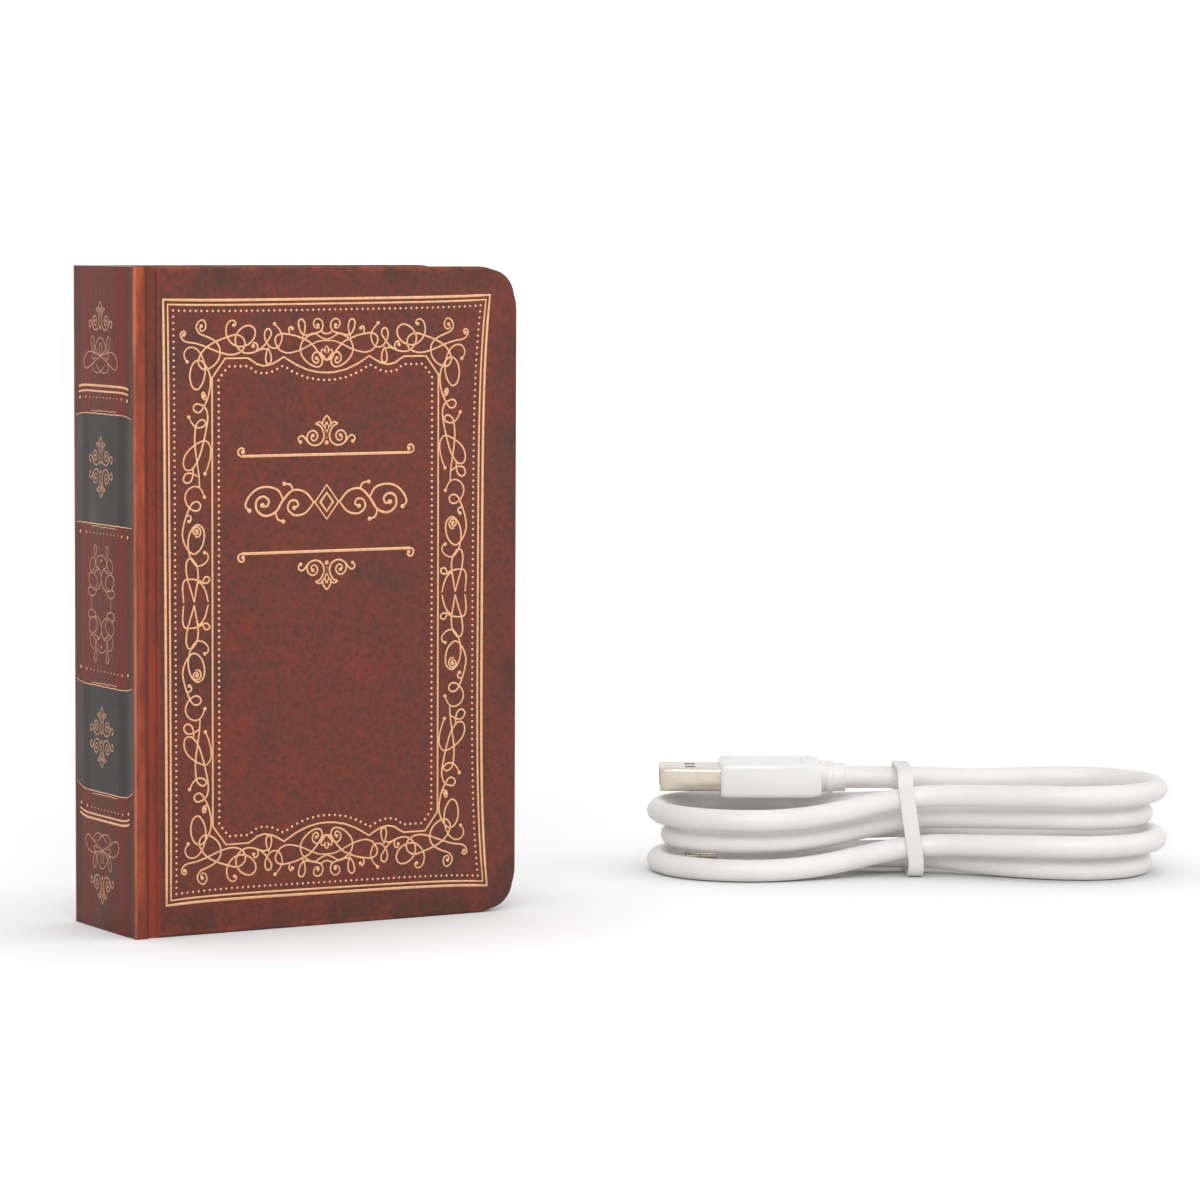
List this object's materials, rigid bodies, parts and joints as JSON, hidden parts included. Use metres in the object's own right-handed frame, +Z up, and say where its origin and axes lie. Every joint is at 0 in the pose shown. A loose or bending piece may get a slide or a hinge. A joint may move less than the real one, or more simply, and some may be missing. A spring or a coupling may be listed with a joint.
{
  "type": "folding book lamp",
  "caption": "Closed leather-bound book standing on its tail edge; its covers hinge open and fan out a pleated paper bellows round a light bar in the spine.",
  "frame": {"origin": "middle of the closed book's foot, on the table", "axes": "+X from the spine to the fore edge, +Y from the front cover to the back cover, +Z up from tail to head"},
  "size_m": [0.2192, 0.0699, 0.12],
  "materials": {
    "leather": "mottled red-brown grained leather with printed gold ornament",
    "greyboard": "grey bookbinder's board",
    "lining": "tan endpaper",
    "pleat_paper": "white translucent folded paper",
    "tape": "double-sided adhesive tape",
    "bar_plastic": "cream moulded plastic",
    "diffuser": "amber translucent plastic",
    "cell_foil": "foil pouch",
    "wire": "insulated wire",
    "circuit_board": "white solder mask",
    "chip": "moulded package",
    "charge_light": "clear red lens",
    "pin_brass": "plated pins",
    "port_steel": "plated steel",
    "led": "warm white light chips",
    "magnet": "nickel-plated magnet",
    "cable_pvc": "satin white cable sheath",
    "tie": "flat white tie",
    "plug_metal": "plated plug shell",
    "plug_plastic": "white moulded plug"
  },
  "bodies": {
    "spine": {"spine_leather": "leather", "spine_board": "greyboard", "spine_liner": "lining", "core_tape": "tape", "core_base": "bar_plastic", "core_diffuser": "diffuser", "tail_cap": "bar_plastic", "head_cap": "bar_plastic", "battery_cell": "cell_foil", "battery_wires": "wire", "charge_board": "circuit_board", "charge_chip": "chip", "charge_light": "charge_light", "magnetic_switch": "chip", "link_pins": "pin_brass", "usb_port": "port_steel", "usb_port_tongue": "chip", "led_board": "circuit_board", "led_chips": "led", "middle_pleats": "pleat_paper", "cable_hank": "cable_pvc", "cable_tie": "tie", "plug_shell_metal": "plug_metal", "plug_contact_block": "plug_plastic", "plug_housing": "plug_plastic", "plug_strain_relief": "cable_pvc", "small_plug_tip": "plug_metal", "small_plug_housing": "plug_plastic", "small_plug_strain_relief": "cable_pvc"},
    "front_cover": {"front_leather": "leather", "front_board": "greyboard", "front_endpaper": "lining", "front_magnets": "magnet", "switch_magnet": "magnet"},
    "back_cover": {"back_leather": "leather", "back_board": "greyboard", "back_endpaper": "lining", "back_magnets": "magnet"},
    "front_fan_1": {"front_pleats_1": "pleat_paper"},
    "front_fan_2": {"front_pleats_2": "pleat_paper"},
    "front_fan_3": {"front_pleats_3": "pleat_paper"},
    "front_fan_4": {"front_pleats_4": "pleat_paper"},
    "front_fan_5": {"front_pleats_5": "pleat_paper"},
    "front_fan_6": {"front_pleats_6": "pleat_paper"},
    "back_fan_1": {"back_pleats_1": "pleat_paper"},
    "back_fan_2": {"back_pleats_2": "pleat_paper"},
    "back_fan_3": {"back_pleats_3": "pleat_paper"},
    "back_fan_4": {"back_pleats_4": "pleat_paper"},
    "back_fan_5": {"back_pleats_5": "pleat_paper"},
    "back_fan_6": {"back_pleats_6": "pleat_paper"}
  },
  "joints": [
    {"name": "front_cover_hinge", "type": "hinge", "parent": "spine", "child": "front_cover", "pos_m": [-0.03775, -0.01175, 0.06], "axis": [0, 0, -1], "range_deg": [0, 90]},
    {"name": "back_cover_hinge", "type": "hinge", "parent": "spine", "child": "back_cover", "pos_m": [-0.03775, 0.01175, 0.06], "axis": [0, 0, 1], "range_deg": [0, 90]},
    {"name": "front_fold_1", "type": "hinge", "parent": "spine", "child": "front_fan_1", "pos_m": [-0.02943, -0.00078, 0.06], "axis": [0, 0, -1], "range_deg": [0, 15]},
    {"name": "front_fold_2", "type": "hinge", "parent": "front_fan_1", "child": "front_fan_2", "pos_m": [-0.02943, -0.00234, 0.06], "axis": [0, 0, -1], "range_deg": [0, 15]},
    {"name": "front_fold_3", "type": "hinge", "parent": "front_fan_2", "child": "front_fan_3", "pos_m": [-0.02943, -0.0039, 0.06], "axis": [0, 0, -1], "range_deg": [0, 15]},
    {"name": "front_fold_4", "type": "hinge", "parent": "front_fan_3", "child": "front_fan_4", "pos_m": [-0.02943, -0.00545, 0.06], "axis": [0, 0, -1], "range_deg": [0, 15]},
    {"name": "front_fold_5", "type": "hinge", "parent": "front_fan_4", "child": "front_fan_5", "pos_m": [-0.02943, -0.00701, 0.06], "axis": [0, 0, -1], "range_deg": [0, 15]},
    {"name": "front_fold_6", "type": "hinge", "parent": "front_fan_5", "child": "front_fan_6", "pos_m": [-0.02943, -0.00857, 0.06], "axis": [0, 0, -1], "range_deg": [0, 15]},
    {"name": "back_fold_1", "type": "hinge", "parent": "spine", "child": "back_fan_1", "pos_m": [-0.02943, 0.00078, 0.06], "axis": [0, 0, 1], "range_deg": [0, 15]},
    {"name": "back_fold_2", "type": "hinge", "parent": "back_fan_1", "child": "back_fan_2", "pos_m": [-0.02943, 0.00234, 0.06], "axis": [0, 0, 1], "range_deg": [0, 15]},
    {"name": "back_fold_3", "type": "hinge", "parent": "back_fan_2", "child": "back_fan_3", "pos_m": [-0.02943, 0.0039, 0.06], "axis": [0, 0, 1], "range_deg": [0, 15]},
    {"name": "back_fold_4", "type": "hinge", "parent": "back_fan_3", "child": "back_fan_4", "pos_m": [-0.02943, 0.00545, 0.06], "axis": [0, 0, 1], "range_deg": [0, 15]},
    {"name": "back_fold_5", "type": "hinge", "parent": "back_fan_4", "child": "back_fan_5", "pos_m": [-0.02943, 0.00701, 0.06], "axis": [0, 0, 1], "range_deg": [0, 15]},
    {"name": "back_fold_6", "type": "hinge", "parent": "back_fan_5", "child": "back_fan_6", "pos_m": [-0.02943, 0.00857, 0.06], "axis": [0, 0, 1], "range_deg": [0, 15]}
  ],
  "couplings": [
    {"joint": "front_fold_1", "follows": "front_cover_hinge", "ratio": 0.16667},
    {"joint": "front_fold_2", "follows": "front_cover_hinge", "ratio": 0.16667},
    {"joint": "front_fold_3", "follows": "front_cover_hinge", "ratio": 0.16667},
    {"joint": "front_fold_4", "follows": "front_cover_hinge", "ratio": 0.16667},
    {"joint": "front_fold_5", "follows": "front_cover_hinge", "ratio": 0.16667},
    {"joint": "front_fold_6", "follows": "front_cover_hinge", "ratio": 0.16667},
    {"joint": "back_fold_1", "follows": "back_cover_hinge", "ratio": 0.16667},
    {"joint": "back_fold_2", "follows": "back_cover_hinge", "ratio": 0.16667},
    {"joint": "back_fold_3", "follows": "back_cover_hinge", "ratio": 0.16667},
    {"joint": "back_fold_4", "follows": "back_cover_hinge", "ratio": 0.16667},
    {"joint": "back_fold_5", "follows": "back_cover_hinge", "ratio": 0.16667},
    {"joint": "back_fold_6", "follows": "back_cover_hinge", "ratio": 0.16667}
  ]
}
